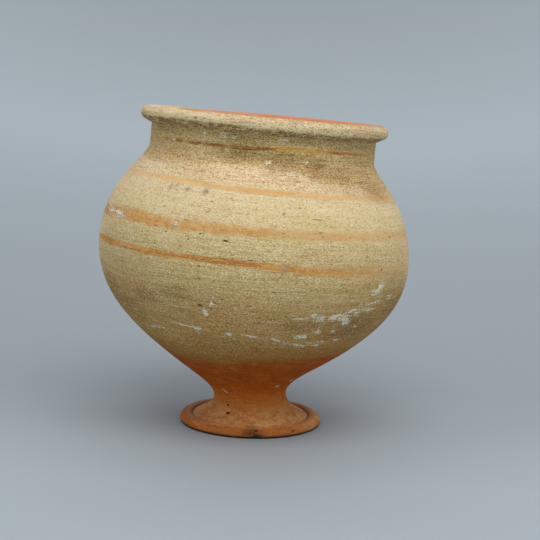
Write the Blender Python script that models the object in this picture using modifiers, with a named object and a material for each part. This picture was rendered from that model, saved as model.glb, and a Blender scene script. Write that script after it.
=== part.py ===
# Footed clay vessel: one piece of wheel-turned, fired clay with a rolled rim, a short straight neck,
# a round belly that narrows to a stem, and a disc foot. The bowl leans a little on its level foot.
import math

import bpy
from mathutils import Matrix, Vector

# Driving dimensions, in metres. Heights run up the wheel axis, one stretch after another, from the
# flat underside of the foot to the crest of the rim.
foot_radius = 0.0338            # widest part of the foot's rounded edge
foot_undercut = 0.0009          # the flat underside stops this far inside the edge
foot_edge_height = 0.0012       # ground to the widest part of the edge
foot_top_height = 0.0031        # widest part of the edge to the top of the disc
foot_edge_bevel = 0.0031        # width of the rounding above the widest part
foot_groove_setback = 0.0060    # edge of the foot to the bottom of the groove round its top
foot_groove_width = 0.0010      # width of the groove's outer side; its inner side is the cone
foot_groove_depth = 0.0011
stem_radius = 0.0174            # waist of the stem
stem_rise = 0.0093              # top of the disc to the waist of the stem
belly_radius = 0.0735
belly_rise = 0.0689             # waist of the stem to the widest part of the belly
shoulder_rise = 0.0475          # widest part of the belly to the foot of the neck
neck_radius = 0.0528
neck_length = 0.0091            # straight stretch of the neck
bead_height = 0.0069            # rolled rim, top to bottom
bead_width = 0.0078             # rolled rim, through its section
bead_projection = 0.0055        # how far the roll stands out past the face of the neck
bead_underside_drop = 0.0012    # the roll's underside slopes this far below it to meet the neck
wall = 0.0050
floor_rise = 0.0105             # waist of the stem to the lowest point inside
floor_round = 0.0080            # height over which the wall turns into the floor

# Fullness of the free curves, as shares of their own rise.
stem_fullness = 0.186
lower_belly_fullness = 0.572
upper_belly_fullness = 0.608
neck_fullness = 0.152
foot_cone_swell = 0.37          # at the groove, where the cone sets out
foot_cone_fullness = 0.67       # at the waist of the stem

# The bowl sank a little to one side on its foot before firing.
lean_right_deg = 3.2            # towards +X
lean_back_deg = 0.9             # towards +Y
lean_pivot_rise = 0.0535        # waist of the stem to the point that the bowl turns about
lean_shift = -0.0014            # sideways step of the bowl along X
lean_blend = 0.020              # height over which the stem passes from level to leaning
lean_start_drop = 0.0040        # the lean starts this far below the waist of the stem
slump_shift = -0.0007           # further step of the shoulder along X
slump_start_rise = 0.0455       # waist of the stem to where that step starts
slump_blend = 0.055             # height over which it comes in

# Fineness of the turned surface.
steps_round = 64
lower_belly_steps = 13
upper_belly_steps = 9
bead_steps = 9
lip_steps = 3
floor_steps = 5
cone_steps = 5
edge_steps = 3
bead_outer_angle = math.radians(-62)
bead_inner_angle = math.radians(130)
sharp_angle = math.radians(42)

# Heights worked out from the stretches.
foot_thickness = foot_edge_height + foot_top_height
stem_height = foot_thickness + stem_rise
belly_height = stem_height + belly_rise
neck_base_height = belly_height + shoulder_rise
bead_base_height = neck_base_height + neck_length
bead_centre_radius = neck_radius + bead_projection - bead_width / 2
bead_centre_height = bead_base_height + bead_underside_drop + bead_height / 2
floor_height = stem_height + floor_rise


def bezier(start, start_pull, end_pull, end, count):
    """Points along a cubic curve, leaving out its start. Each pull is a step from its own end."""
    first, last = Vector(start), Vector(end)
    lead, trail = first + Vector(start_pull), last + Vector(end_pull)
    points = []
    for step in range(1, count + 1):
        t = step / count
        s = 1 - t
        points.append(s**3 * first + 3 * s * s * t * lead + 3 * s * t * t * trail + t**3 * last)
    return points


def ellipse(centre, half_width, half_height, start_angle, end_angle, count):
    """Points on an ellipse from one angle to another, both ends included."""
    points = []
    for step in range(count + 1):
        angle = start_angle + (end_angle - start_angle) * step / count
        points.append(Vector((centre[0] + half_width * math.cos(angle),
                              centre[1] + half_height * math.sin(angle))))
    return points


def foot_profile():
    """The disc foot from the middle of its underside, over the groove and up the cone to the stem."""
    quarter = math.pi / 2
    points = [Vector((0, 0))]
    points += ellipse((foot_radius - foot_undercut, foot_edge_height), foot_undercut,
                      foot_edge_height, -quarter, 0, edge_steps)
    points += ellipse((foot_radius - foot_edge_bevel, foot_edge_height), foot_edge_bevel,
                      foot_top_height, 0, quarter, edge_steps)[1:]
    groove_radius = foot_radius - foot_groove_setback
    points.append(Vector((groove_radius + foot_groove_width, foot_thickness)))
    cone_foot = Vector((groove_radius, foot_thickness - foot_groove_depth))
    points.append(cone_foot)
    cone_rise = stem_height - cone_foot.y
    swell = foot_cone_swell * cone_rise
    points += bezier(cone_foot, (-swell, swell), (0, -foot_cone_fullness * cone_rise),
                     (stem_radius, stem_height), cone_steps)
    return points


def lower_belly():
    """The outer side from the waist of the stem out to the widest part of the belly."""
    return bezier((stem_radius, stem_height), (0, stem_fullness * belly_rise),
                  (0, -lower_belly_fullness * belly_rise), (belly_radius, belly_height), lower_belly_steps)


def upper_belly():
    """The outer side from the widest part of the belly in to the foot of the neck."""
    return bezier((belly_radius, belly_height), (0, upper_belly_fullness * shoulder_rise),
                  (0, -neck_fullness * shoulder_rise), (neck_radius, neck_base_height), upper_belly_steps)


def bead_profile():
    """The rolled rim, from where it meets the neck outside, over the crest and down its inner side."""
    corner = Vector((neck_radius, bead_base_height))
    roll = ellipse((bead_centre_radius, bead_centre_height), bead_width / 2, bead_height / 2,
                   bead_outer_angle, bead_inner_angle, bead_steps)
    return [corner] + roll


def inner_wall(outer):
    """The outer side moved in by the wall, from the top of the belly down to where the floor starts."""
    points = []
    for index in range(len(outer) - 1, 0, -1):
        above = outer[min(index + 1, len(outer) - 1)]
        along = (above - outer[index - 1]).normalized()
        point = outer[index] + wall * Vector((-along.y, along.x))
        if point.y < floor_height + floor_round:
            break
        points.append(point)
    return points


def vessel_profile():
    """The whole half section, from the middle of the floor inside to the middle of the underside."""
    belly = lower_belly() + upper_belly()
    bead = bead_profile()
    inner = inner_wall([Vector((stem_radius, stem_height))] + belly)
    throat = Vector((neck_radius - wall, bead_base_height))
    lip_pull = Vector((-math.sin(bead_inner_angle), math.cos(bead_inner_angle))) * bead_width / 4
    lip = bezier(bead[-1], lip_pull, (0, bead_height / 3), throat, lip_steps)
    last = inner[-1]
    fall = (last - inner[-2]).normalized() * (last.y - floor_height)
    floor = bezier(last, fall * 0.7, (last.x * 0.55, 0), (0, floor_height), floor_steps)
    upward = foot_profile() + belly + bead + lip + inner + floor
    return list(reversed(upward))


def eased(value):
    """0 below 0, 1 above 1, and a smooth rise between them."""
    share = min(max(value, 0), 1)
    return share * share * (3 - 2 * share)


def lean(point):
    """Moves a point of the level, upright bowl to where it stands after the bowl leaned."""
    share = eased((point.z - stem_height + lean_start_drop) / lean_blend)
    slump = slump_shift * eased((point.z - stem_height - slump_start_rise) / slump_blend)
    pivot = Vector((0, 0, stem_height + lean_pivot_rise))
    turn = (Matrix.Rotation(math.radians(lean_right_deg), 3, "Y")
            @ Matrix.Rotation(-math.radians(lean_back_deg), 3, "X"))
    leaned = turn @ (point - pivot) + pivot + Vector((lean_shift + slump, 0, 0))
    return point.lerp(leaned, share)


def clear_scene():
    for item in list(bpy.data.objects):
        bpy.data.objects.remove(item, do_unlink=True)


def clay_material():
    """Buff slip over orange clay, matt and dry."""
    material = bpy.data.materials.new("clay_body")
    material.use_nodes = True
    shader = material.node_tree.nodes["Principled BSDF"]
    shader.inputs["Base Color"].default_value = (0.52, 0.41, 0.23, 1)
    shader.inputs["Roughness"].default_value = 0.85
    shader.inputs["Metallic"].default_value = 0
    return material


def turned_object(name, profile, collection):
    """An object made by turning a half section about the Z axis, with its Screw modifier made real."""
    mesh = bpy.data.meshes.new(name + "_profile")
    edges = [(index, index + 1) for index in range(len(profile) - 1)]
    mesh.from_pydata([(point.x, 0, point.y) for point in profile], edges, [])
    guide = bpy.data.objects.new(name + "_profile", mesh)
    collection.objects.link(guide)
    screw = guide.modifiers.new("turn", "SCREW")
    screw.axis = "Z"
    screw.angle = 2 * math.pi
    screw.steps = steps_round
    screw.render_steps = steps_round
    screw.use_merge_vertices = True
    screw.merge_threshold = 0.00001
    evaluated = guide.evaluated_get(bpy.context.evaluated_depsgraph_get())
    turned = bpy.data.objects.new(name, bpy.data.meshes.new_from_object(evaluated))
    turned.data.name = name
    collection.objects.link(turned)
    bpy.data.objects.remove(guide, do_unlink=True)
    return turned


def build_vessel():
    collection = bpy.data.collections.new("footed_clay_vessel")
    bpy.context.scene.collection.children.link(collection)
    vessel = turned_object("vessel", vessel_profile(), collection)
    for vertex in vessel.data.vertices:
        vertex.co = lean(vertex.co)
    vessel.data.materials.clear()
    vessel.data.materials.append(clay_material())
    vessel.data.shade_smooth()
    vessel.data.set_sharp_from_angle(angle=sharp_angle)


clear_scene()
build_vessel()
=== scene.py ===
# The footed clay vessel as it was found: greenish-buff slip over orange clay, brushed orange lines,
# lime crust, pits and dust, with the wheel's fine lines all over it.
import math

import bmesh
import bpy
from mathutils import Color, Matrix, Vector, noise


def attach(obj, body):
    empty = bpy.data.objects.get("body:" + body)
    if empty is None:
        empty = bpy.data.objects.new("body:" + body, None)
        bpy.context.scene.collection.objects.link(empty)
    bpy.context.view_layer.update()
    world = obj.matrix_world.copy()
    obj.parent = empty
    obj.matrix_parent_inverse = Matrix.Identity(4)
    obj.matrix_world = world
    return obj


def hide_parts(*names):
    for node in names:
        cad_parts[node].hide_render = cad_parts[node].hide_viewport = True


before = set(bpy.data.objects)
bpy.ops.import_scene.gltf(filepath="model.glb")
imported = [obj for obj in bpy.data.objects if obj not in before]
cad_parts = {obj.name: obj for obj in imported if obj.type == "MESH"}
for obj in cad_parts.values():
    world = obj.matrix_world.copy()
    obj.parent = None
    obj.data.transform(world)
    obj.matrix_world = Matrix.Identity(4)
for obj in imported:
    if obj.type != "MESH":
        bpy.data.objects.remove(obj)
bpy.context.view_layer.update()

MM = 0.001
tiny = 1e-6

# Sizes of the turned body, in metres, as in the part's source.
foot_radius = 0.0338
foot_undercut = 0.0009
foot_edge_height = 0.0012
foot_top_height = 0.0031
foot_edge_bevel = 0.0031
foot_groove_setback = 0.0060
foot_groove_width = 0.0010
foot_groove_depth = 0.0011
stem_radius = 0.0174
stem_rise = 0.0093
belly_radius = 0.0735
belly_rise = 0.0689
shoulder_rise = 0.0475
neck_radius = 0.0528
neck_length = 0.0091
bead_height = 0.0069
bead_width = 0.0078
bead_projection = 0.0055
bead_underside_drop = 0.0012
wall = 0.0050
floor_rise = 0.0105
floor_round = 0.0080
stem_fullness = 0.186
lower_belly_fullness = 0.572
upper_belly_fullness = 0.608
neck_fullness = 0.152
foot_cone_swell = 0.37
foot_cone_fullness = 0.67
lean_right_deg = 3.2
lean_back_deg = 0.9
lean_pivot_rise = 0.0535
lean_shift = -0.0014
lean_blend = 0.020
lean_start_drop = 0.0040
slump_shift = -0.0007
slump_start_rise = 0.0455
slump_blend = 0.055
floor_fall = 0.7
floor_spread = 0.55
bead_outer_angle = math.radians(-62)
bead_inner_angle = math.radians(130)

foot_thickness = foot_edge_height + foot_top_height
stem_height = foot_thickness + stem_rise
belly_height = stem_height + belly_rise
neck_base_height = belly_height + shoulder_rise
bead_base_height = neck_base_height + neck_length
bead_centre_radius = neck_radius + bead_projection - bead_width / 2
bead_centre_height = bead_base_height + bead_underside_drop + bead_height / 2
floor_height = stem_height + floor_rise

# Fineness of the dressed surface.
steps_round = 384
underside_rings = 12
edge_steps = 7
flat_steps = 2
groove_steps = 5
cone_steps = 14
lower_belly_steps = 78
upper_belly_steps = 46
neck_steps = 8
bead_steps = 22
lip_steps = 5
inner_steps = 30
floor_steps = 8

# How the surface strays from a true turned shape, in millimetres: how far, how far apart along the
# section, how closely set round the wheel, and where in the noise it is taken from.
broad_swell = (0.14, 34, 1.3, (0, 0))
wheel_ridge = (0.045, 2.3, 0.5, (7, 0))
rim_swell = (0.10, 4, 3.1, (0, 5))
finger_ridge = 0.22             # inside, where fingers drew the wall up
finger_spacing = 7.5
ground_gap = 0.05               # how far the underside's hollows rise off the ground
ground_closeness = 0.5
inward_allowance = 0.13         # the widest part and the rim sit this much inside the true shape

# Where soft changes begin and end. Places on the outside are given as thrown, before the bowl leaned:
# angles in degrees from the front, positive towards +X, and heights in millimetres up the wheel axis.
rim_in = (138, 142)
widest_in = (60, 72)
widest_out = (98, 110)
# The flanks' tint, towards the belly's left and right edges and round the back: partly warmer worn slip,
# partly a painted sheen.
flank_angles = (52, 86)
flank_in = (44, 60)
flank_out = (84, 108)
# The brown under the neck is partly staining and partly a painted shadow of the rim.
stain_and_shade_softness = (-1.8, 2.4)
stain_and_shade_out = (138, 141)
# Heights over which the painted contact shadow along the foot's lower edge fades out.
contact_shadow_heights = (0.6, 1.5)
dusty_angles_in = (30, 70)
dusty_angles_out = (110, 140)
dusty_side_share = 0.7
dust_run = 37.5                 # from the middle of the underside round to the cone, along the section
dust_run_softness = 4.0
dust_run_out = (52, 58)
dust_rise_angles = (40, 75)     # the dust begins a millimetre further up the cone at the sides
crest_fade = 3                  # how many times faster the slip ends past the rim's crest than below
lines_from = 60                 # all brushed lines are above this height
far_off = 4                     # half widths from a brushed line at which it no longer matters
wheel_radius = 50               # of the coordinates that run round the wheel and along the section
mark_depth = 4                  # how far a pit's or a string's place reaches in and out

# Lower edges of the slip and of the brown under the neck, which is partly staining and partly a painted
# shadow of the rim, and how far past the rim's crest the slip runs on inwards along the section.
slip_edge = (
    (-180, 37.5), (-130, 34.5), (-90, 33), (-55, 33.8), (-37, 33.4), (-20, 34.8), (-7, 35.5), (5, 38),
    (23, 38.8), (35, 39.3), (50, 40.8), (90, 41.5), (130, 41))
slip_over_crest = (
    (-180, 0.3), (-157, 0.6), (-150, 1.1), (-143, 2.2), (-134, 4), (-120, 6), (-62, 6), (-38, 2), (0, 1.4),
    (60, 1.3), (90, 1.2), (120, 0.6), (150, 0.3))
neck_stain_and_shade_edge = (
    (-180, 121), (-120, 123), (-55, 123.5), (-28, 122.9), (-13, 125.8), (0, 126.2), (6, 125), (15, 124.4),
    (19, 123.6), (23, 121.3), (27, 119.7), (40, 120.3), (46, 119.5), (51.5, 117.9), (58, 116.2), (64, 113),
    (80, 111), (120, 115))

# Brushed lines from the neck down: angle, height, half width, how much paint is left, and tone, from
# 0, yellow ochre, over orange to 1, dark red-brown.
neck_line = (
    (-150, 133.1, 0.7, 0.45, 0.4), (-77, 133.2, 0.7, 0.45, 0.35), (-59, 133, 0.7, 0.6, 0.45),
    (-53, 133.1, 0.7, 0.75, 0.95), (-29, 133, 0.7, 0.8, 1), (-8, 132.9, 0.75, 0.92, 1),
    (4, 133.4, 0.7, 0.85, 0.95), (8, 133.8, 0.8, 0.95, 0.05), (29, 134.1, 0.8, 0.9, 0.12),
    (36, 134.1, 0.8, 0.85, 0.55), (54, 133.7, 0.75, 0.65, 0.55), (75, 133.4, 0.6, 0.35, 0.45),
    (120, 133.2, 0.6, 0.4, 0.5), (170, 133, 0.65, 0.5, 0.45))
shoulder_line = (
    (-170, 116.3, 1, 0.46, 0.3), (-110, 116.6, 1.1, 0.52, 0.3), (-68, 116.8, 1.3, 0.54, 0.3),
    (-32, 116.6, 1.3, 0.56, 0.26), (-12, 115.8, 1.3, 0.59, 0.28), (8, 115.6, 1.3, 0.59, 0.29),
    (28, 115.4, 1.3, 0.56, 0.28), (56, 115.5, 1.3, 0.52, 0.32), (90, 115.6, 1.1, 0.45, 0.35),
    (140, 116, 1, 0.45, 0.3))
upper_line = (
    (-170, 98.4, 2.4, 0.6, 0.42), (-120, 98.1, 2.5, 0.66, 0.45), (-78, 98, 2.6, 0.68, 0.45),
    (-52, 99.2, 2.7, 0.64, 0.42), (-38, 98.4, 2.7, 0.62, 0.4), (-28, 98.2, 2.6, 0.6, 0.4),
    (-19, 98.9, 2.4, 0.59, 0.42), (-10, 98.9, 2.2, 0.61, 0.45), (-2, 98.8, 2.2, 0.63, 0.46),
    (6, 99.2, 2.2, 0.57, 0.4), (15, 98.9, 2.2, 0.54, 0.38), (28, 99.1, 2.2, 0.55, 0.4),
    (39, 99.5, 2.1, 0.53, 0.4), (52, 99.3, 2.1, 0.52, 0.4), (90, 98.9, 2.1, 0.52, 0.42),
    (140, 98.7, 2.3, 0.58, 0.42))
middle_line = (
    (-170, 85.2, 1.6, 0.6, 0.4), (-120, 85.5, 1.5, 0.68, 0.42), (-77, 85.5, 1.5, 0.68, 0.42),
    (-52, 85.4, 1.5, 0.72, 0.44), (-38, 85.2, 1.5, 0.82, 0.5), (-28, 85.2, 1.5, 0.86, 0.54),
    (-20, 85.5, 1.5, 0.86, 0.54), (-5, 85.3, 1.5, 1.1, 0.62), (-1, 85.2, 1.5, 1, 0.6),
    (3, 85, 1.6, 0.68, 0.5), (8, 84.7, 1.6, 0.6, 0.46), (11, 84.5, 1.7, 0.68, 0.5),
    (20, 84.1, 1.9, 0.64, 0.46), (31, 84.1, 2, 0.6, 0.42), (42, 84.6, 2.1, 0.53, 0.4),
    (55, 84.3, 2.3, 0.5, 0.38), (90, 84.2, 2, 0.48, 0.4), (140, 84.9, 1.8, 0.55, 0.4))
brushed_lines = (neck_line, shoulder_line, upper_line, middle_line)

# Soft marks: angle, height, half length round the wheel, half height, strength.
lime_crust = (
    (-51, 49, 3, 1.3, 0.3), (-43, 50.4, 4, 1.4, 0.3), (-31, 54.2, 4, 1.3, 0.3), (-22, 53.5, 4, 1.3, 0.5),
    (-21, 51.4, 1.8, 1.2, 0.6), (-8, 52.4, 3, 1.1, 0.5), (1.5, 52.3, 4.5, 1.2, 0.3),
    (9, 51.8, 4, 1.1, 0.3), (16, 50.6, 4, 1, 0.3), (51.5, 78, 3.5, 1.8, 0.9), (49, 74.8, 4.5, 1.6, 1),
    (45, 69.4, 4.5, 1.5, 0.3), (52, 70, 4.5, 1.3, 0.3), (47, 66.6, 5, 1.5, 0.4), (59.5, 71.8, 4, 1.3, 0.7),
    (19, 62.5, 5, 1, 0.3), (26.5, 63.2, 5, 1.7, 0.8), (32.5, 63.3, 3.5, 1.9, 0.7),
    (37, 63.4, 5, 2.6, 0.85), (42, 65.1, 3.5, 1.8, 0.6), (39, 60.6, 3, 1.5, 0.8),
    (28, 56.4, 2.6, 1.3, 0.9), (35, 56.4, 1.6, 1.1, 0.8), (21.5, 53.6, 3.6, 1.5, 1),
    (40.5, 51.7, 3.4, 1.2, 0.3), (32, 51.3, 3, 1, 0.6), (24, 48.7, 4.5, 1.2, 0.4), (31, 49.3, 4, 1.1, 0.4),
    (65, 71, 2.5, 1.2, 0.7), (45.5, 58.6, 2, 1.2, 0.7), (-16.4, 61.9, 1.9, 2.5, 0.5),
    (-14, 66.1, 1.3, 1.3, 1.3), (16.2, 72, 1.1, 1.1, 1.2), (-34.5, 17.7, 1.5, 1.7, 0.3),
    (40.5, 22.1, 1.9, 1.2, 0.3), (54, 25.2, 1.4, 0.9, 0.7), (-70, 99.2, 9, 2.4, 0.6),
    (-60, 98.5, 8, 2.2, 0.6), (9, 138, 3.2, 1.1, 0.8), (-19.5, 137.6, 2.2, 1.9, 0.45),
    (3, 127.7, 1.8, 1.2, 0.8), (-14, 137.2, 1.6, 1.7, 0.45), (-30, 137.5, 1.6, 1.1, 0.5),
    (-49, 133.4, 1, 0.6, 0.7), (21, 128.9, 1.5, 1.1, 0.6), (13, 123.8, 2.6, 0.9, 0.5),
    (-29, 98.7, 2, 1.4, 0.5), (116, 60, 9, 1.6, 0.9), (131, 58, 7, 1.4, 0.8), (150, 54, 9, 1.3, 0.7),
    (-118, 51, 8, 1.4, 0.8), (-140, 47.5, 9, 1.4, 0.8), (178, 50.5, 8, 1.3, 0.7), (98, 66, 7, 1.6, 0.8),
    (-96, 50, 6, 1.2, 0.6))
# Dark patches. Those on and under the neck and on the right shoulder are painted shadow of the rim; the
# others are dark places in the slip and clay.
dark_patches_and_shade = (
    (-27, 68.2, 11, 5, 0.55), (-41, 65.1, 10, 5, 0.65), (-66, 60, 26, 13, 0.65), (22.5, 59, 18, 4, 0.5),
    (45.5, 57.8, 22, 10, 1), (58.5, 78.2, 10, 7, 0.3), (72, 64, 26, 17, 0.75), (-5.5, 47, 30, 5, 0.35),
    (50, 120.5, 20, 7, 0.6), (140, 66, 22, 7, 0.55), (-130, 62, 20, 6, 0.5), (95, 57, 18, 5, 0.5),
    (2, 28.3, 8, 3.5, 0.5), (26, 126.5, 13, 5.5, 0.9), (38, 124.5, 13, 5, 0.8), (60, 117.5, 14, 6, 0.7),
    (-31.5, 144.1, 1.5, 0.9, 1), (-28, 144, 1.6, 0.8, 0.8), (-24.5, 144, 1.8, 0.7, 0.6),
    (-36.5, 143.5, 1.2, 0.7, 0.5), (-9, 131.5, 17, 7.5, 0.9), (10, 128.8, 19, 6.3, 0.85),
    (-58, 138.2, 12, 2.4, 0.8))
grey_stains = (
    (-37, 113.7, 1.3, 1.3, 1.3), (-34.6, 114.2, 1.2, 1.2, 1.2), (-28.8, 113.4, 1.9, 1.2, 1.2),
    (-21, 113.5, 2, 1.6, 1.2), (-22, 101.5, 1.2, 2.4, 0.6), (-29, 98.3, 2.4, 1.8, 1),
    (-59, 98.3, 8, 2.6, 0.9), (-71, 98.4, 7, 2.6, 0.9), (10.2, 85.2, 3.6, 1.4, 1.1),
    (-20, 85.3, 1.8, 1.1, 0.8), (150, 98.8, 6, 2, 0.6), (-150, 85.4, 4, 1.2, 0.7))
# Sooty smudges on the foot; the thin one low at the front is a painted contact shadow.
soot = (
    (5, 1.2, 5, 1.9, 1), (1.5, 2.7, 6, 2, 0.8), (-9, 0.8, 9, 0.4, 0.7), (-125, 2.2, 3, 1.4, 0.5))

# Places where the slip is rubbed thin and shows pinkish clay.
rubbed_pink = (
    (46, 62, 36, 26, 1), (62, 70, 24, 15, 0.8), (-56, 60, 26, 18, 0.8), (20, 56, 22, 8, 0.4),
    (-24, 57, 24, 8, 0.35), (22, 70, 12, 8, 0.4), (-74, 144.5, 14, 3.4, 0.9), (50, 144.8, 14, 3.2, 1),
    (70, 146.4, 6, 1.6, 0.9), (-56, 127, 24, 6.5, 0.75), (-10, 121.2, 40, 4.6, 0.7),
    (24, 120, 22, 4, 0.45), (-75, 112, 16, 22, 0.3), (62, 121, 24, 8, 0.75), (-62, 98.6, 12, 2.6, 0.5),
    (140, 143, 40, 4, 0.7), (-140, 120, 40, 8, 0.5), (74, 88, 24, 14, 0.5))

# Sharp pits and pinholes: the same five numbers.
pits = (
    (-10, 94.1, 1.5, 0.42, 1), (9.5, 107.2, 0.9, 0.24, 0.7), (15.8, 110.2, 1, 0.24, 0.7),
    (22.4, 105.8, 3.6, 0.2, 0.6), (50.5, 84.8, 0.55, 0.55, 1), (-32.5, 94.8, 0.5, 0.4, 0.8),
    (-23.3, 93, 0.5, 0.4, 0.8), (-19.3, 95.7, 0.7, 0.35, 0.8), (-18.3, 82.3, 0.7, 0.35, 0.7),
    (-36.2, 10.9, 1, 0.55, 0.9), (-30.8, 7.8, 1.3, 0.6, 1), (65.5, 13.5, 0.4, 1.6, 0.9),
    (5.2, 3.6, 1, 0.5, 1), (37, 2.6, 1.5, 0.45, 0.7), (-30, 139.2, 0.7, 0.6, 0.9),
    (97, 4.6, 2.2, 0.45, 0.8), (63, 6.1, 1.4, 0.5, 0.4), (-18.4, 64.8, 1.3, 0.7, 0.8),
    (23, 75.8, 0.6, 0.3, 0.6))

# Thin strings and dabs of lime: angle, height, half length, half height, and slope in degrees.
lime_strings = (
    (-26, 54, 6.2, 0.55, -5), (-47.2, 49.4, 3.4, 0.45, 3), (-39, 50.3, 1.5, 0.5, 9),
    (-21, 53.4, 2.6, 0.8, -3), (0.8, 52.7, 5.6, 0.5, -5), (-8, 52.6, 1.4, 0.6, 8),
    (12, 51.4, 3.2, 0.5, -16), (17.9, 62.6, 4.6, 0.5, 7), (21.4, 49.5, 3, 0.55, -14),
    (49.4, 69.8, 6.4, 0.65, 8), (49.1, 66.6, 4.9, 0.5, 4), (40, 51.8, 2.2, 0.5, -6),
    (28.2, 56.6, 2.1, 0.9, 0), (22.4, 53.5, 2.9, 1, -5), (23.5, 64.5, 1.8, 1.1, 10),
    (32.6, 63.8, 4.8, 1.1, 18), (39.1, 66.5, 3.8, 0.9, 15), (51, 77.6, 2.4, 1.3, 20),
    (-16.4, 61.9, 1.5, 2.1, 0), (-14, 66.1, 1, 1, 0), (16.2, 72, 0.6, 0.6, 0),
    (-34.5, 17.7, 1.5, 0.7, -38), (40.5, 22.1, 1.6, 0.65, 20))

# Dents that the shape itself has, with their depth in millimetres as the last number.
dents = (
    (-66, 30, 2.2, 1.6, 0.45), (-16.8, 63.9, 2, 2.4, 0.35), (39, 1.9, 2, 1.2, 0.25),
    (-20, 147.6, 3, 1.5, 0.12), (-152, 147.2, 24, 4, 0.5), (120, 2.4, 3, 1.6, 0.25))
soft_marks = {"lime": lime_crust, "dark": dark_patches_and_shade, "grey": grey_stains, "soot": soot,
              "pink": rubbed_pink, "dents": dents}


def paint(red, green, blue):
    """A colour given as it shows on a screen, 0 to 255, made into what the shader reads."""
    return (*Color((red / 255, green / 255, blue / 255)).from_srgb_to_scene_linear(), 1)


# Colours by height in millimetres: the slip, the rim's roll, and what shows through or lies on them.
slip_by_height = ((38.4, paint(186, 138, 62)), (49.6, paint(202, 156, 80)), (62.4, paint(204, 166, 104)),
                  (73.6, paint(208, 181, 123)), (88, paint(212, 189, 135)), (102.4, paint(226, 203, 152)),
                  (116.8, paint(231, 208, 166)), (125.6, paint(246, 222, 178)), (132.8, paint(248, 222, 158)),
                  (140.8, paint(243, 218, 148)), (146.4, paint(236, 208, 158)))
# The roll's colours hold painted light: lighter on its lower half, where the lamp leaves it in shade, and
# dimmer on top.
roll_with_painted_light_by_height = ((140.8, paint(246, 230, 180)), (142.6, paint(240, 222, 172)), (144, paint(228, 206, 160)),
                  (146, paint(220, 196, 156)), (147.2, paint(216, 190, 154)))
rubbed_by_height = ((88, paint(190, 142, 70)), (108.8, paint(214, 156, 112)))
flank_and_sheen_by_height = ((57.6, paint(206, 150, 84)), (70.4, paint(224, 178, 122)), (86.4, paint(252, 226, 184)))
darkened_by_height = ((80, paint(158, 116, 58)), (112, paint(164, 122, 72)), (126.4, paint(166, 124, 74)),
                      (131.2, paint(154, 130, 66)), (139.2, paint(154, 130, 66)), (141.6, paint(122, 86, 54)))
clay_by_height = ((0, paint(162, 94, 46)), (4.5, paint(180, 105, 44)), (13.5, paint(216, 128, 50)),
                  (20.7, paint(196, 98, 8)), (27.9, paint(178, 82, 2)), (38.3, paint(172, 86, 4)))

# Colours of the brushed lines by tone.
line_paints = ((0.0, paint(222, 172, 60)), (0.2, paint(230, 184, 98)), (0.35, paint(222, 146, 66)),
               (0.5, paint(208, 142, 52)), (0.65, paint(184, 116, 40)), (1.0, paint(138, 86, 54)))
dry_brush = paint(182, 108, 30)
thin_paint = paint(232, 184, 116)

# Single colours on the slip.
roll_shadow = paint(134, 98, 36)
green_wash = paint(242, 244, 214)
ochre_speck = paint(188, 142, 78)
neck_brown = paint(206, 170, 106)
neck_pock = paint(150, 122, 66)
slip_fleck = paint(250, 238, 206)
slip_grain_dark = paint(180, 154, 112)
slip_grain_light = paint(253, 241, 206)
stain_and_shade_grain_light = paint(216, 202, 156)
line_grey = paint(158, 134, 128)
shoulder_grey = paint(112, 92, 90)
thin_slip = paint(158, 104, 40)

# Single colours on the bare clay, and what lies on both.
bright_clay = paint(206, 122, 50)
burnt_clay = paint(112, 54, 22)
greyed_clay = paint(178, 142, 106)
buff_dust = paint(222, 174, 114)
inside_clay = paint(206, 138, 102)
clay_grain_dark = paint(200, 168, 140)
clay_grain_light = paint(232, 160, 98)
pore_shadow = paint(112, 84, 46)
pit_shadow = paint(58, 40, 26)
lime_cream = paint(253, 242, 210)
soot_and_shadow_black = paint(48, 36, 30)

# The backdrop's paper, and how bright it is by its distance behind the pot in metres: painted light and
# shade, with a painted shadow just behind the pot, a painted pool of light where the paper curves up, and
# painted shade higher up.
paper_dark = paint(160, 168, 174)
paper_light = paint(163, 171, 177)
paper_painted_light_by_depth = tuple((depth, (share, share, share, 1)) for depth, share in (
    (-0.10, 1.05), (-0.05, 0.98), (0.00, 0.87), (0.07, 0.80), (0.20, 0.80), (0.62, 0.84), (1.12, 0.97),
    (1.27, 1.05), (1.34, 1.00), (1.42, 0.91), (1.52, 0.80)))


def bezier(start, start_pull, end_pull, end, count):
    """Points along a cubic curve, leaving out its start. Each pull is a step from its own end."""
    first, last = Vector(start), Vector(end)
    lead, trail = first + Vector(start_pull), last + Vector(end_pull)
    points = []
    for step in range(1, count + 1):
        t = step / count
        s = 1 - t
        points.append(s**3 * first + 3 * s * s * t * lead + 3 * s * t * t * trail + t**3 * last)
    return points


def ellipse(centre, half_width, half_height, start_angle, end_angle, count):
    """Points on an ellipse from one angle to another, both ends included."""
    points = []
    for step in range(count + 1):
        angle = start_angle + (end_angle - start_angle) * step / count
        points.append(Vector((centre[0] + half_width * math.cos(angle),
                              centre[1] + half_height * math.sin(angle))))
    return points


def straight(start, end, count):
    """Points along a straight line, leaving out its start."""
    return [Vector(start).lerp(Vector(end), step / count) for step in range(1, count + 1)]


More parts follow.
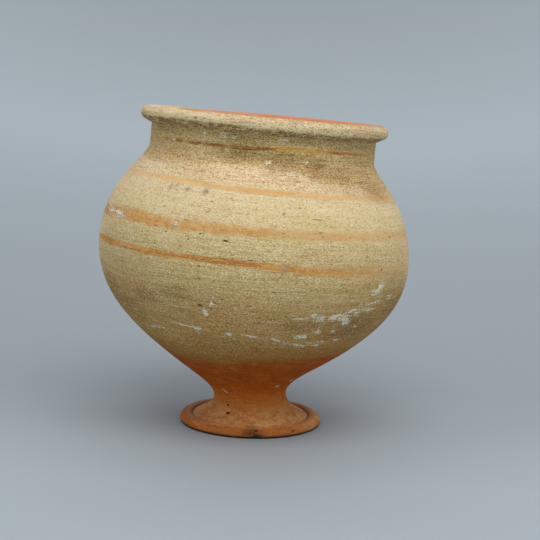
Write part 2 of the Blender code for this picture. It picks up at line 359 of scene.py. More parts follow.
def foot_profile():
    """The disc foot from the middle of its underside, over the groove and up the cone to the stem."""
    quarter = math.pi / 2
    points = [Vector((0, 0))] + straight((0, 0), (foot_radius - foot_undercut, 0), underside_rings)
    points += ellipse((foot_radius - foot_undercut, foot_edge_height), foot_undercut,
                      foot_edge_height, -quarter, 0, edge_steps)[1:]
    points += ellipse((foot_radius - foot_edge_bevel, foot_edge_height), foot_edge_bevel,
                      foot_top_height, 0, quarter, edge_steps)[1:]
    groove_radius = foot_radius - foot_groove_setback
    groove_edge = groove_radius + foot_groove_width
    points += straight(points[-1], (groove_edge, foot_thickness), flat_steps)
    for step in range(1, groove_steps + 1):
        share = step / groove_steps
        points.append(Vector((groove_edge - foot_groove_width * share,
                              foot_thickness - foot_groove_depth * ease(share, 0, 1))))
    cone_rise = stem_height - points[-1].y
    swell = foot_cone_swell * cone_rise
    points += bezier(points[-1], (-swell, swell), (0, -foot_cone_fullness * cone_rise),
                     (stem_radius, stem_height), cone_steps)
    return points


def outer_profile():
    """The outer half section, from the middle of the underside to the crest and inner side of the rim."""
    points = foot_profile()
    points += bezier((stem_radius, stem_height), (0, stem_fullness * belly_rise),
                     (0, -lower_belly_fullness * belly_rise), (belly_radius, belly_height), lower_belly_steps)
    points += bezier((belly_radius, belly_height), (0, upper_belly_fullness * shoulder_rise),
                     (0, -neck_fullness * shoulder_rise), (neck_radius, neck_base_height), upper_belly_steps)
    points += straight((neck_radius, neck_base_height), (neck_radius, bead_base_height), neck_steps)
    points += ellipse((bead_centre_radius, bead_centre_height), bead_width / 2, bead_height / 2,
                      bead_outer_angle, bead_inner_angle, bead_steps)
    return points


def inner_profile(outer):
    """The inner half section, from the rim down to the middle of the floor inside."""
    lip_pull = Vector((-math.sin(bead_inner_angle), math.cos(bead_inner_angle))) * bead_width / 4
    throat = (neck_radius - wall, bead_base_height)
    points = bezier(outer[-1], lip_pull, (0, bead_height / 3), throat, lip_steps)
    belly = [point for point in outer if stem_height <= point.y <= bead_base_height
             and point.x >= stem_radius]
    stride = max(len(belly) // inner_steps, 1)
    kept = belly[::-1][stride::stride]
    for above, here, below in zip(kept, kept[1:], kept[2:]):
        along = (above - below).normalized()
        point = here + wall * Vector((-along.y, along.x))
        if point.y < floor_height + floor_round:
            break
        points.append(point)
    last = points[-1]
    fall = (last - points[-2]).normalized() * (last.y - floor_height)
    points += bezier(last, fall * floor_fall, (last.x * floor_spread, 0), (0, floor_height), floor_steps)
    return points


def lean(point):
    """Moves a point of the level, upright bowl to where it stands after the bowl leaned."""
    rise = point.z - stem_height
    share = ease(rise, -lean_start_drop, lean_blend - lean_start_drop)
    slump = slump_shift * ease(rise, slump_start_rise, slump_start_rise + slump_blend)
    pivot = Vector((0, 0, stem_height + lean_pivot_rise))
    turn = (Matrix.Rotation(math.radians(lean_right_deg), 3, "Y")
            @ Matrix.Rotation(-math.radians(lean_back_deg), 3, "X"))
    leaned = turn @ (point - pivot) + pivot + Vector((lean_shift + slump, 0, 0))
    return point.lerp(leaned, share)


def ease(value, low, high):
    """0 below low, 1 above high, and a smooth rise between them."""
    share = min(max((value - low) / (high - low), 0), 1)
    return share * share * (3 - 2 * share)


def round_the_wheel(stations, angle):
    """What a list of stations says at an angle, eased from one station to the next and round the back."""
    low = stations[-1]
    low_angle = low[0] - 360
    for station in stations:
        if station[0] >= angle:
            high, high_angle = station, station[0]
            break
        low, low_angle = station, station[0]
    else:
        high, high_angle = stations[0], stations[0][0] + 360
    share = ease(angle, low_angle, high_angle)
    return [a + (b - a) * share for a, b in zip(low[1:], high[1:])]


def strongest(marks, angle, height, radius):
    """The strongest of a list of soft marks at a place on the outside."""
    found = 0
    for mark_angle, mark_height, half_length, half_height, strength in marks:
        rise = (height - mark_height) / half_height
        turn = (angle - mark_angle + 180) % 360 - 180
        round_about = math.radians(turn) * radius / half_length
        reach = rise * rise + round_about * round_about
        if reach < 1:
            found = max(found, strength * (1 - reach))
    return found


def swell(kind, around, run):
    """One kind of unevenness at a place, in millimetres."""
    rise, spacing, closeness, start = kind
    return rise * noise.noise(around * closeness + Vector((*start, run / spacing)))


def relief(around, angle, run, height, inside):
    """How far the surface stands out from the turned shape, in millimetres."""
    rise = swell(broad_swell, around, run) + swell(wheel_ridge, around, run)
    if inside:
        turn = run / finger_spacing + angle / 360
        return rise + finger_ridge * (math.sin(2 * math.pi * turn) - 1) / 2
    crest = ease(height, *rim_in)
    widest = ease(height, *widest_in) * (1 - ease(height, *widest_out))
    return rise + crest * swell(rim_swell, around, run) - inward_allowance * max(crest, widest)


def ring_lists(profile, outer_count):
    """For each ring of the turned shape: its run along the section, its outward side, its marks."""
    rings = []
    run = 0
    for index, point in enumerate(profile):
        before = profile[max(index - 1, 0)]
        after = profile[min(index + 1, len(profile) - 1)]
        run += (point - before).length / MM
        along = (after - before).normalized()
        ring = {"run": run, "out": Vector((along.y, -along.x)), "inside": index >= outer_count}
        for name, marks in soft_marks.items():
            ring[name] = [] if ring["inside"] else [
                mark for mark in marks if abs(point.y / MM - mark[1]) < mark[3]]
        rings.append(ring)
    return rings


def column_lists():
    """For each column round the wheel: its direction, and where the edges and brushed lines are there."""
    columns = []
    for step in range(steps_round):
        angle = step * 360 / steps_round - 180
        turn = math.radians(angle)
        columns.append({"angle": angle, "around": Vector((math.sin(turn), -math.cos(turn), 0)),
                        "slip_edge": round_the_wheel(slip_edge, angle)[0],
                        "stain_and_shade_edge": round_the_wheel(neck_stain_and_shade_edge, angle)[0],
                        "over_crest": round_the_wheel(slip_over_crest, angle)[0],
                        "lines": [round_the_wheel(line, angle) for line in brushed_lines]})
    return columns


def spin(shell, chain, turn, steps, meet):
    """Spins a chain of vertices round the wheel axis, and joins its two ends if they meet."""
    edges = [shell.edges.new(pair) for pair in zip(chain, chain[1:])]
    bmesh.ops.spin(shell, geom=chain + edges, cent=(0, 0, 0), axis=(0, 0, 1), dvec=(0, 0, 0),
                   angle=turn, steps=steps, use_merge=meet)


def sew(shell):
    """Makes one vertex of those that share a place, and turns all faces outwards."""
    bmesh.ops.remove_doubles(shell, verts=shell.verts, dist=tiny)
    bmesh.ops.recalc_face_normals(shell, faces=shell.faces)


def turned_bowl(profile):
    """The profile spun an eighth of a turn and copied round, closed at both poles, vertices with rings."""
    shell = bmesh.new()
    ring_of = shell.verts.layers.int.new("ring")
    chain = []
    for index, point in enumerate(profile):
        vertex = shell.verts.new((0, point.x, point.y))
        vertex[ring_of] = index
        chain.append(vertex)
    spin(shell, chain, math.pi / 4, steps_round // 8, False)
    for turn in (math.pi / 4, math.pi / 2, math.pi):
        copy = bmesh.ops.duplicate(shell, geom=shell.verts[:] + shell.edges[:] + shell.faces[:])["geom"]
        bmesh.ops.rotate(shell, verts=[part for part in copy if isinstance(part, bmesh.types.BMVert)],
                         cent=(0, 0, 0), matrix=Matrix.Rotation(turn, 3, "Z"))
    sew(shell)
    return shell


def in_scene(name, data):
    """A new object of that name, placed in the scene."""
    made = bpy.data.objects.new(name, data)
    bpy.context.scene.collection.objects.link(made)
    return made


def finished(shell, name):
    """The modelled shell as a smooth object in the scene."""
    mesh = bpy.data.meshes.new(name)
    shell.to_mesh(mesh)
    shell.free()
    mesh.shade_smooth()
    return in_scene(name, mesh)


def nearest_line(lines, height):
    """The nearest brushed line: how many half widths off, how much is left, and its tone.

    The sign turns over from line to line, so that nothing jumps midway between two."""
    best = None
    for order, (middle, half_width, left, tone) in enumerate(lines):
        off = (height - middle) / half_width
        if best is None or abs(height - middle) < best[0]:
            flip = -1 if order % 2 else 1
            best = (abs(height - middle), flip * min(max(off, -far_off), far_off), left, tone)
    return best[1:]


def surface_maps(ring, column, radius, height, found, crest_run):
    """What the finish reads at one place: where it is, and which lines, tints and marks are there."""
    angle, around, run = column["angle"], column["around"], ring["run"]
    outside = 0 if ring["inside"] else 1
    lined = outside and height > lines_from
    flank = ease(abs(angle), *flank_angles) * ease(height, *flank_in) * (1 - ease(height, *flank_out))
    # The brown under the neck: partly staining, partly a painted shadow of the rim.
    stain_and_shade_low, stain_and_shade_high = (column["stain_and_shade_edge"] + softness for softness in stain_and_shade_softness)
    neck_stain_and_shade = ease(height, stain_and_shade_low, stain_and_shade_high) * (1 - ease(height, *stain_and_shade_out))
    dusty_side = dusty_side_share * ease(angle, *dusty_angles_in) * (1 - ease(angle, *dusty_angles_out))
    dust_edge = dust_run + ease(abs(angle), *dust_rise_angles)
    dusty_cone = ease(run, dust_edge, dust_edge + dust_run_softness)
    dust = max(dusty_cone, dusty_side) * (1 - ease(run, *dust_run_out))
    cover = min(height - column["slip_edge"], (crest_run + column["over_crest"] - run) * crest_fade)
    return {"thrown": around * radius + Vector((0, 0, height)),
            "wheel": around * wheel_radius + Vector((0, 0, run)),
            "line": nearest_line(column["lines"], height) if lined else (far_off, 0, 0),
            "tints": Vector((neck_stain_and_shade, flank, found["dark"])) * outside,
            "marks": (found["lime"], found["grey"], found["soot"]),
            "cover": (cover, dust * outside, found["pink"])}


def vessel_piece():
    """The whole pot as one mesh, with the maps that its finish reads."""
    outer = outer_profile()
    profile = outer + inner_profile(outer)
    rings = ring_lists(profile, len(outer))
    crest_run = max(zip(outer, rings), key=lambda pair: pair[0].y)[1]["run"]
    shell = turned_bowl(profile)
    ring_of = shell.verts.layers.int["ring"]
    maps = {name: shell.verts.layers.float_vector.new(name)
            for name in ("thrown", "wheel", "line", "tints", "marks", "cover")}
    columns = column_lists()
    for vertex in shell.verts:
        index = vertex[ring_of]
        ring, point = rings[index], profile[index]
        at_pole, under = point.x < tiny, point.y < tiny
        turn = 0 if at_pole else math.degrees(math.atan2(vertex.co.x, -vertex.co.y))
        column = columns[round((turn + 180) / 360 * steps_round) % steps_round]
        angle, around = column["angle"], column["around"]
        radius, height = point.x / MM, point.y / MM
        found = {name: strongest(ring[name], angle, height, radius) for name in soft_marks}
        # Along the foot's lower edge, a painted contact shadow goes in with the sooty smudges.
        if not ring["inside"] and not under:
            found["soot"] = max(found["soot"], 1 - ease(height, *contact_shadow_heights))
        for name, value in surface_maps(ring, column, radius, height, found, crest_run).items():
            vertex[maps[name]] = value
        if under:
            lift = Vector((0, max(ground_gap * (1 + noise.noise(around * radius * ground_closeness)), 0)))
        else:
            out = relief(around, angle, ring["run"], height, ring["inside"])
            lift = ring["out"] * (out - found["dents"])
        if not at_pole:
            radius += lift.x
        height = max(height + lift.y, 0)
        vertex.co = lean((around * radius + Vector((0, 0, height))) * MM)
    piece = finished(shell, "vessel_clay")
    piece.data.attributes.remove(piece.data.attributes["ring"])
    return piece


class Finish:
    """A material whose pattern is built up node by node. Lengths in it are in millimetres."""

    def __init__(self, name):
        self.material = bpy.data.materials.new(name)
        self.material.use_nodes = True
        self.tree = self.material.node_tree
        self.shader = self.tree.nodes["Principled BSDF"]

    def node(self, kind, **settings):
        made = self.tree.nodes.new(kind)
        for name, value in settings.items():
            setattr(made, name, value)
        return made

    def join(self, value, socket):
        if isinstance(value, bpy.types.NodeSocket):
            self.tree.links.new(value, socket)
        else:
            socket.default_value = value

    def calc(self, operation, *values):
        made = self.node("ShaderNodeMath", operation=operation)
        for value, socket in zip(values, made.inputs):
            self.join(value, socket)
        return made.outputs[0]

    def times(self, first, *shares):
        """Values multiplied with one another."""
        for share in shares:
            first = self.calc("MULTIPLY", first, share)
        return first

    def mixed(self, *parts):
        """Values added up, each with its own weight."""
        total = 0.0
        for value, weight in parts:
            total = self.calc("MULTIPLY_ADD", value, weight, total)
        return total

    def swayed(self, value, wave, width):
        """The value moved up and down by a noise, over the width in all."""
        return self.calc("MULTIPLY_ADD", self.calc("SUBTRACT", wave, 0.5), width, value)

    def step(self, value, low, high, start=0.0, end=1.0):
        """A smooth step: start below low, end above high."""
        made = self.node("ShaderNodeMapRange", interpolation_type="SMOOTHSTEP")
        for part, socket in zip((value, low, high, start, end), made.inputs):
            self.join(part, socket)
        return made.outputs[0]

    def blend(self, share, first, second, way="MIX"):
        made = self.node("ShaderNodeMix", data_type="RGBA", blend_type=way)
        self.join(share, made.inputs[0])
        self.join(first, made.inputs[6])
        self.join(second, made.inputs[7])
        return made.outputs[2]

    def ramp(self, value, stops):
        made = self.node("ShaderNodeValToRGB")
        self.join(value, made.inputs[0])
        bar = made.color_ramp.elements
        while len(bar) < len(stops):
            bar.new(0.5)
        for element, (place, colour) in zip(bar, stops):
            element.position = place
            element.color = colour
        return made.outputs[0]

    def graded(self, value, stops):
        """Colours by a value, each stop given with the value that it belongs to."""
        low, high = stops[0][0], stops[-1][0]
        share = self.calc("DIVIDE", self.calc("SUBTRACT", value, low), high - low)
        return self.ramp(share, [((at - low) / (high - low), colour) for at, colour in stops])

    def coat(self, name, value):
        self.join(value, self.shader.inputs[name])

    def read(self, name):
        return self.node("ShaderNodeAttribute", attribute_name=name).outputs["Vector"]

    def parts(self, vector):
        made = self.node("ShaderNodeSeparateXYZ")
        self.join(vector, made.inputs[0])
        return made.outputs

    def placed(self, vector, size=(1, 1, 1), place=(0, 0, 0), turn=(0, 0, 0), kind="POINT"):
        made = self.node("ShaderNodeMapping", vector_type=kind)
        for value, socket in zip((vector, place, turn, size), made.inputs):
            self.join(value, socket)
        return made.outputs[0]

    def grain(self, vector, scale, detail=3.0, roughness=0.5, bend=0.0):
        made = self.node("ShaderNodeTexNoise")
        for name, value in (("Vector", vector), ("Scale", scale), ("Detail", detail),
                            ("Roughness", roughness), ("Distortion", bend)):
            self.join(value, made.inputs[name])
        return made.outputs[0]

    def cells(self, vector, scale):
        made = self.node("ShaderNodeTexVoronoi")
        for name, value in (("Vector", vector), ("Scale", scale), ("Randomness", 1.0)):
            self.join(value, made.inputs[name])
        return made.outputs["Distance"], made.outputs["Color"]

    def bump(self, height, strength=1.0):
        """Height is in millimetres."""
        made = self.node("ShaderNodeBump")
        self.join(strength, made.inputs["Strength"])
        self.join(MM, made.inputs["Distance"])
        self.join(height, made.inputs["Height"])
        return made.outputs[0]


def radius_at(height, outer):
    """The outer radius at a height, in millimetres, from the widest point of the section there."""
    found = 0
    for low, high in zip(outer, outer[1:]):
        bottom, top = sorted((low.y / MM, high.y / MM))
        if bottom <= height <= top and top > bottom:
            found = max(found, low.x / MM, high.x / MM)
    return found


def flat_ball(finish, thrown, outer, angle, height, half_length, half_height, slope=0):
    """A soft ball pressed flat against the outside: 1 in its middle and 0 at its edge."""
    radius = radius_at(height, outer)
    turn = math.radians(angle)
    place = (radius * math.sin(turn), -radius * math.cos(turn), height)
    tilt = (0, -math.radians(slope), turn)
    local = finish.placed(thrown, (half_length, mark_depth, half_height), place, tilt, "TEXTURE")
    ball = finish.node("ShaderNodeTexGradient", gradient_type="SPHERICAL")
    finish.join(local, ball.inputs[0])
    return ball.outputs[1]


def pit_mask(finish, thrown, outer):
    """Where the sharp pits are, from 0 at their edges to 1 in the middle."""
    total = 0.0
    for *place, strength in pits:
        pit = finish.step(flat_ball(finish, thrown, outer, *place), 0.0, 0.55, 0.0, strength)
        total = finish.calc("MAXIMUM", total, pit)
    return total


def string_mask(finish, thrown, outer):
    """Where the thin strings of lime lie, from 0 at their edges to 1 along the middle."""
    total = 0.0
    for place in lime_strings:
        total = finish.calc("MAXIMUM", total, flat_ball(finish, thrown, outer, *place))
    return total


def pore_mask(finish, wheel):
    """Where the pores are: short dashes that lie along the wheel's lines, some deep and most faint."""
    total = 0.0
    for size, keep, reach, depth in ((0.34, 0.42, 0.24, 0.6), (0.14, 0.32, 0.15, 1.0)):
        near, pick = finish.cells(finish.placed(wheel, (size, size, size * 3.6)), 1.0)
        picked = finish.step(finish.parts(pick)[0], 1 - keep, 1.02 - keep)
        pore = finish.times(finish.step(near, reach, reach * 0.4, 0.0, depth), picked)
        total = finish.calc("MAXIMUM", total, pore)
    return total


def crust_mask(finish, maps, outer):
    """Where the lime crust is: broad dabs and thin strings, both broken up into fine grains."""
    calc, step = finish.calc, finish.step
    strings = finish.grain(finish.placed(maps["wheel"], (0.22, 0.22, 2.0)), 1.0, 3, 0.7)
    grains = finish.grain(maps["thrown"], 1.4, 2, 0.6)
    flakes = finish.mixed((strings, 0.45), (grains, 0.55))
    strung = string_mask(finish, maps["thrown"], outer)
    dabs = finish.times(calc("POWER", maps["lime"], 0.6), 0.175)
    threads = finish.times(calc("POWER", strung, 0.5), 0.215)
    crust = step(calc("ADD", flakes, calc("MAXIMUM", dabs, threads)), 0.585, 0.635)
    return finish.times(crust, calc("MAXIMUM", step(maps["lime"], 0.02, 0.2), step(strung, 0.0, 0.1)))


def surface_noises(finish, thrown, wheel):
    """The noises that break up every tone, from broad clouds down to specks and the wheel's lines."""
    grain, placed = finish.grain, finish.placed
    upright = placed(thrown, (0.85, 0.85, 1.5))
    streak = grain(placed(wheel, (0.06, 0.06, 1.1)), 1.0, 3, 0.6)
    hair = grain(placed(wheel, (0.17, 0.17, 2.3)), 1.0, 3, 0.65)
    return {"cloud": grain(thrown, 0.035, 3, 0.55), "patch": grain(thrown, 0.11, 4, 0.6, 0.4),
            "mottle": grain(thrown, 0.42, 4, 0.62), "speck": grain(upright, 1.5, 2, 0.6),
            "ochre": grain(upright, 0.72, 3, 0.7),
            "flow": grain(placed(wheel, (0.02, 0.02, 0.22)), 1.0, 3, 0.55),
            "lines": finish.mixed((streak, 0.5), (hair, 0.5))}


def slip_tone(finish, noises, maps):
    """The slip's colour by height, with greener, warmer and darkened places, before its grain. Some of it
    is painted light and shade: the roll lighter low down, shadow of the rim under the neck, sheen on the
    flanks.
    """
    calc, step, blend, times = finish.calc, finish.step, finish.blend, finish.times
    height = maps["height"]
    lifted = finish.swayed(finish.swayed(height, noises["cloud"], 22.0), noises["flow"], 14.0)
    tone = finish.graded(lifted, slip_by_height)
    # The roll, painted lighter low down where the lamp leaves it in shade.
    tone = blend(step(height, 140.2, 141.0), tone, finish.graded(height, roll_with_painted_light_by_height))
    roll_foot = calc("SUBTRACT", height, step(maps["across"], -16.0, 6.0, 1.1, 0.0))
    under_roll = times(step(height, 138.4, 139.8), step(roll_foot, 142.2, 140.9))
    tone = blend(times(under_roll, step(noises["mottle"], 0.36, 0.56, 0.35, 0.95)), tone, roll_shadow)
    greenish = blend(1.0, tone, green_wash, "MULTIPLY")
    tone = blend(step(noises["patch"], 0.46, 0.66, 0.0, 0.4), tone, greenish)
    fleck = finish.mixed((noises["speck"], 0.65), (noises["mottle"], 0.35))
    pink = times(maps["pink"], step(fleck, 0.46, 0.56, 0.05, 1.0))
    tone = blend(pink, tone, finish.graded(height, rubbed_by_height))
    # The flanks: warmer worn slip, lightened as a painted sheen towards the belly's edges.
    flank = times(maps["flank"], calc("ADD", step(noises["cloud"], 0.3, 0.7), 0.2))
    tone = blend(flank, tone, finish.graded(height, flank_and_sheen_by_height))
    tone = blend(step(noises["ochre"], 0.54, 0.66, 0.0, 0.6), tone, ochre_speck)
    # The brown under the neck, partly a painted shadow of the rim.
    tone = stained_and_shaded(finish, noises, maps["neck_stain_and_shade"], tone)
    # Dark patches, those under the neck and on the right shoulder painted shadow of the rim.
    shade = times(maps["dark"], step(noises["patch"], 0.32, 0.56, 0.45, 0.95))
    return blend(shade, tone, finish.graded(height, darkened_by_height))


def stained_and_shaded(finish, noises, stain_and_shade, tone):
    """The tone with the brown under the neck, part staining and part painted shadow of the rim:
    broken at its edge, pocked, with pale flecks.
    """
    step, blend, times = finish.step, finish.blend, finish.times
    broken = finish.swayed(noises["mottle"], noises["speck"], 0.7)
    broken = finish.calc("MULTIPLY_ADD", stain_and_shade, 0.34, broken)
    tone = blend(times(stain_and_shade, step(broken, 0.52, 0.76), 0.68), tone, neck_brown)
    tone = blend(times(stain_and_shade, step(noises["ochre"], 0.48, 0.40, 0.0, 0.5)), tone, neck_pock)
    return blend(times(stain_and_shade, step(noises["speck"], 0.54, 0.62, 0.0, 0.55)), tone, slip_fleck)


def brushed(finish, noises, maps, tone):
    """The tone with the brushed lines on it: dry streaks, ragged edges, worn where little is left."""
    calc, step, blend, times = finish.calc, finish.step, finish.blend, finish.times
    brush = finish.grain(finish.placed(maps["wheel"], (0.07, 0.07, 2.4)), 1.0, 4, 0.7)
    uneven = calc("SUBTRACT", finish.mixed((brush, 1.3), (noises["mottle"], 0.7)), 1.0)
    ragged = calc("MULTIPLY_ADD", uneven, 1.8, calc("ABSOLUTE", maps["line_off"]))
    wear = finish.mixed((brush, 0.35), (noises["lines"], 0.35), (noises["speck"], 0.75))
    left = step(calc("ADD", calc("SUBTRACT", wear, 0.725), maps["line_left"]), 0.45, 0.64)
    paints = finish.graded(maps["line_tone"], line_paints)
    paints = blend(step(brush, 0.50, 0.40, 0.0, 0.65), paints, dry_brush)
    thin = times(step(noises["mottle"], 0.48, 0.64, 0.0, 0.6), step(maps["line_left"], 0.95, 0.75))
    paints = blend(thin, paints, thin_paint)
    return blend(times(step(ragged, 1.3, 0.5), left, 0.92), tone, paints)


def grained(finish, noises, tone, rub, dots, dark, light):
    """The tone with the wheel's fine lines and the clay's grain in it, both darker and lighter."""
    step, blend, times = finish.step, finish.blend, finish.times
    lines, speck = noises["lines"], noises["speck"]
    tone = blend(times(step(lines, 0.50, 0.38), rub), tone, dark, "MULTIPLY")
    tone = blend(times(step(lines, 0.53, 0.66), rub), tone, light)
    tone = blend(times(step(speck, 0.49, 0.36), dots), tone, dark, "MULTIPLY")
    return blend(times(step(speck, 0.54, 0.68), dots), tone, light)


def slip_surface(finish, noises, maps):
    """The finished slip: its tone, the brushed lines, grey stains and grain."""
    calc, step, blend, times = finish.calc, finish.step, finish.blend, finish.times
    height = maps["height"]

    # Lines and grain show most on the neck and least on the shoulder. The grain is weaker on the
    # brushed lines and on the left of the roll.
    rub = calc("ADD", step(height, 114.0, 122.0, 0.0, 0.36), step(height, 100.0, 92.0, 0.22, 0.36))
    dots = calc("ADD", step(height, 108.0, 92.0, 0.38, 0.58), step(height, 112.0, 122.0, 0.0, 0.40))
    calm = times(step(height, 140.0, 142.0, 0.0, 0.6), step(maps["across"], 0.0, -30.0))
    off_lines = step(calc("ABSOLUTE", maps["line_off"]), 0.7, 1.3, 0.5, 1.0)
    dots = times(dots, off_lines, calc("SUBTRACT", 1.0, calm))
    slip = brushed(finish, noises, maps, slip_tone(finish, noises, maps))
    greys = blend(step(height, 104.0, 108.0), line_grey, shoulder_grey)
    slip = blend(times(maps["grey"], step(noises["speck"], 0.42, 0.52, 0.0, 0.9)), slip, greys)
    light = blend(maps["neck_stain_and_shade"], slip_grain_light, stain_and_shade_grain_light)
    return grained(finish, noises, slip, rub, dots, slip_grain_dark, light)


def clay_surface(finish, noises, maps):
    """The finished bare clay: brown under the slip's edge, brighter at the stem, dusty on the foot."""
    calc, step, blend, times = finish.calc, finish.step, finish.blend, finish.times
    waver = finish.mixed((noises["patch"], 0.6), (noises["flow"], 0.4))
    tone = finish.graded(finish.swayed(maps["height"], waver, 14.0), clay_by_height)
    tone = blend(step(waver, 0.50, 0.66, 0.0, 0.45), tone, bright_clay)
    tone = blend(times(maps["dark"], step(noises["mottle"], 0.35, 0.65)), tone, burnt_clay)
    run = finish.parts(maps["wheel"])[2]
    sides = step(calc("ABSOLUTE", maps["across"]), 12.0, 24.0, 0.1, 1.0)
    ring = times(step(run, 37.6, 41.8), step(run, 44.2, 43.0), sides)
    tone = blend(times(ring, step(noises["patch"], 0.3, 0.6, 0.6, 0.95)), tone, greyed_clay)
    dusty = finish.mixed((noises["patch"], 0.6), (noises["mottle"], 0.8))
    dusty = times(maps["dust"], step(ring, 0.8, 0.2), step(dusty, 0.54, 0.86, 0.15, 0.85))
    tone = blend(dusty, tone, buff_dust)
    tone = blend(step(maps["height"], 60.0, 100.0), tone, inside_clay)
    return grained(finish, noises, tone, 0.34, 0.28, clay_grain_dark, clay_grain_light)


def clay_finish():
    """Slip over orange clay with brushed lines, wear, pores, lime crust, stains and dust, and some painted
    light and shade.
    """
    finish = Finish("slipped_clay")
    calc, step, blend, times = finish.calc, finish.step, finish.blend, finish.times
    thrown, wheel = finish.read("thrown"), finish.read("wheel")
    place = finish.parts(thrown)
    maps = {"thrown": thrown, "wheel": wheel, "height": place[2], "across": place[0]}
    for name, parts in (("line", ("line_off", "line_left", "line_tone")),
                        ("tints", ("neck_stain_and_shade", "flank", "dark")),
                        ("marks", ("lime", "grey", "soot")), ("cover", ("cover", "dust", "pink"))):
        maps.update(zip(parts, finish.parts(finish.read(name))))
    noises = surface_noises(finish, thrown, wheel)
    outer = outer_profile()

    # The slip grows browner and thins out towards its lower edge, and shows the clay.
    edge = finish.swayed(finish.swayed(maps["cover"], noises["flow"], 5.0), noises["mottle"], 3.0)
    covered = step(edge, -1.6, 3.6)
    slip = slip_surface(finish, noises, maps)
    slip = blend(step(edge, 15.0, 0.5, 0.0, 0.62), slip, thin_slip)
    surface = blend(covered, clay_surface(finish, noises, maps), slip)

    pores = pore_mask(finish, wheel)
    pit = pit_mask(finish, thrown, outer)
    crust = crust_mask(finish, maps, outer)
    surface = blend(times(pores, 0.8), surface, pore_shadow)
    surface = blend(pit, surface, pit_shadow)
    surface = blend(times(crust, 0.95), surface, lime_cream)
    # Sooty smudges, and the painted contact shadow along the foot's lower edge.
    surface = blend(times(maps["soot"], step(noises["mottle"], 0.15, 0.45)), surface, soot_and_shadow_black)
    finish.coat("Base Color", surface)

    rough = calc("MULTIPLY_ADD", crust, 0.06, step(noises["mottle"], 0.2, 0.8, 0.74, 0.9))
    finish.coat("Roughness", rough)
    finish.coat("Specular IOR Level", 0.14)

    # What stands out and what is sunk, in millimetres.
    raised = finish.mixed((noises["lines"], 0.10), (noises["speck"], 0.13), (noises["mottle"], 0.08),
                          (covered, 0.06), (crust, 0.18), (pores, -0.25), (pit, -0.5))
    finish.coat("Normal", finish.bump(raised, 0.9))
    return finish.material


def backdrop_finish():
    """Pale grey-blue paper, a little darker behind the pot and high up: a painted shadow and painted shade.
    """
    finish = Finish("pale_paper")
    place = finish.node("ShaderNodeTexCoord").outputs["Object"]
    fibre = finish.grain(place, 900.0, 2, 0.5)
    tone = finish.blend(finish.step(fibre, 0.3, 0.7), paper_dark, paper_light)
    # Painted light and shade on the paper by its depth.
    painted_light_shares = finish.graded(finish.parts(place)[1], paper_painted_light_by_depth)
    finish.coat("Base Color", finish.blend(1.0, tone, painted_light_shares, "MULTIPLY"))
    finish.coat("Roughness", 0.6)
    finish.coat("Specular IOR Level", 0.3)
    return finish.material


def backdrop():
    """A round sweep: a flat floor that curves up into a wall on all sides."""
    flat_radius, curve_radius, wall_height = 1.0, 0.60, 0.75
    curve_steps, sweep_steps = 16, 96
    chain = [Vector((0, 0)), Vector((flat_radius, 0))]
    chain += [Vector((flat_radius, curve_radius)) + curve_radius * Vector((math.sin(a), -math.cos(a)))
              for a in (math.pi / 2 * step / curve_steps for step in range(1, curve_steps + 1))]
    chain.append(Vector((flat_radius + curve_radius, wall_height)))
    sweep = bmesh.new()
    vertices = [sweep.verts.new((0, point.x, point.y)) for point in chain]
    spin(sweep, vertices, 2 * math.pi, sweep_steps, True)
    sew(sweep)
    bmesh.ops.reverse_faces(sweep, faces=sweep.faces)
    made = finished(sweep, "backdrop")
    made.data.materials.append(backdrop_finish())


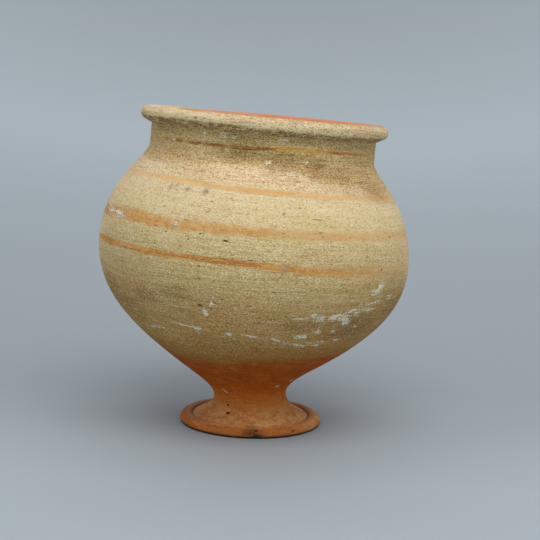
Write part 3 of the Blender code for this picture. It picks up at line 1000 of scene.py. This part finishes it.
def soft_light():
    """A large soft light overhead, one for the backdrop, and an even light from all sides."""
    # Each lamp: its name, width and depth in metres, power in watts, place and aim.
    for name, width, depth, power, place, aim in (
            ("overhead", 1.5, 0.9, 13.5, (0.18, -0.85, 1.35), (0, 0, 0.05)),
            ("backdrop_light", 1.6, 0.6, 6.5, (0, 0.75, 1.15), (0, 1.45, 0.1))):
        lamp = bpy.data.lights.new(name, "AREA")
        lamp.shape = "RECTANGLE"
        lamp.size = width
        lamp.size_y = depth
        lamp.energy = power
        lamp.color = (1.0, 0.985, 0.96)
        holder = in_scene(name, lamp)
        holder.location = place
        holder.visible_camera = False
        holder.rotation_euler = (Vector(aim) - Vector(place)).to_track_quat("-Z", "Y").to_euler()
    world = bpy.data.worlds.new("room")
    world.use_nodes = True
    background = world.node_tree.nodes["Background"]
    background.inputs["Color"].default_value = (0.92, 0.96, 1.0, 1)
    background.inputs["Strength"].default_value = 0.72
    bpy.context.scene.world = world
    bpy.context.scene.view_settings.view_transform = "Standard"


def camera():
    """The camera at the photograph's viewing angle."""
    picture_side = 540          # pixels
    focal_pixels = 1344.0
    distance = 0.640            # metres
    elevation = math.radians(8.19)
    roll = math.radians(2.00)
    aim = Vector((0, 0, 0.075))
    aim_column, aim_row = 255.26, 267.11        # where the aim shows in the picture, in pixels
    place = aim + distance * Vector((0, -math.cos(elevation), math.sin(elevation)))
    forward = (aim - place).normalized()
    right = Vector((1, 0, 0))
    up = right.cross(forward)
    rolled_right = math.cos(roll) * right + math.sin(roll) * up
    rolled_up = math.cos(roll) * up - math.sin(roll) * right
    yaw = math.atan((aim_column - picture_side / 2) / focal_pixels)
    pitch = math.atan((aim_row - picture_side / 2) / focal_pixels)
    look = Matrix((rolled_right, -rolled_up, forward))
    turn = Matrix.Rotation(yaw, 3, "Y") @ Matrix.Rotation(-pitch, 3, "X")
    rows = turn @ look
    view = Matrix((rows[0], -rows[1], -rows[2])).transposed().to_4x4()
    data = bpy.data.cameras.new("photo_camera")
    data.sensor_width = 36
    data.lens = focal_pixels * data.sensor_width / picture_side
    data.clip_start = 0.01
    made = in_scene("photo_camera", data)
    made.matrix_world = Matrix.Translation(place) @ view
    bpy.context.scene.camera = made


vessel = vessel_piece()
vessel.data.materials.append(clay_finish())
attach(vessel, "root")
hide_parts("vessel")
backdrop()
soft_light()
camera()
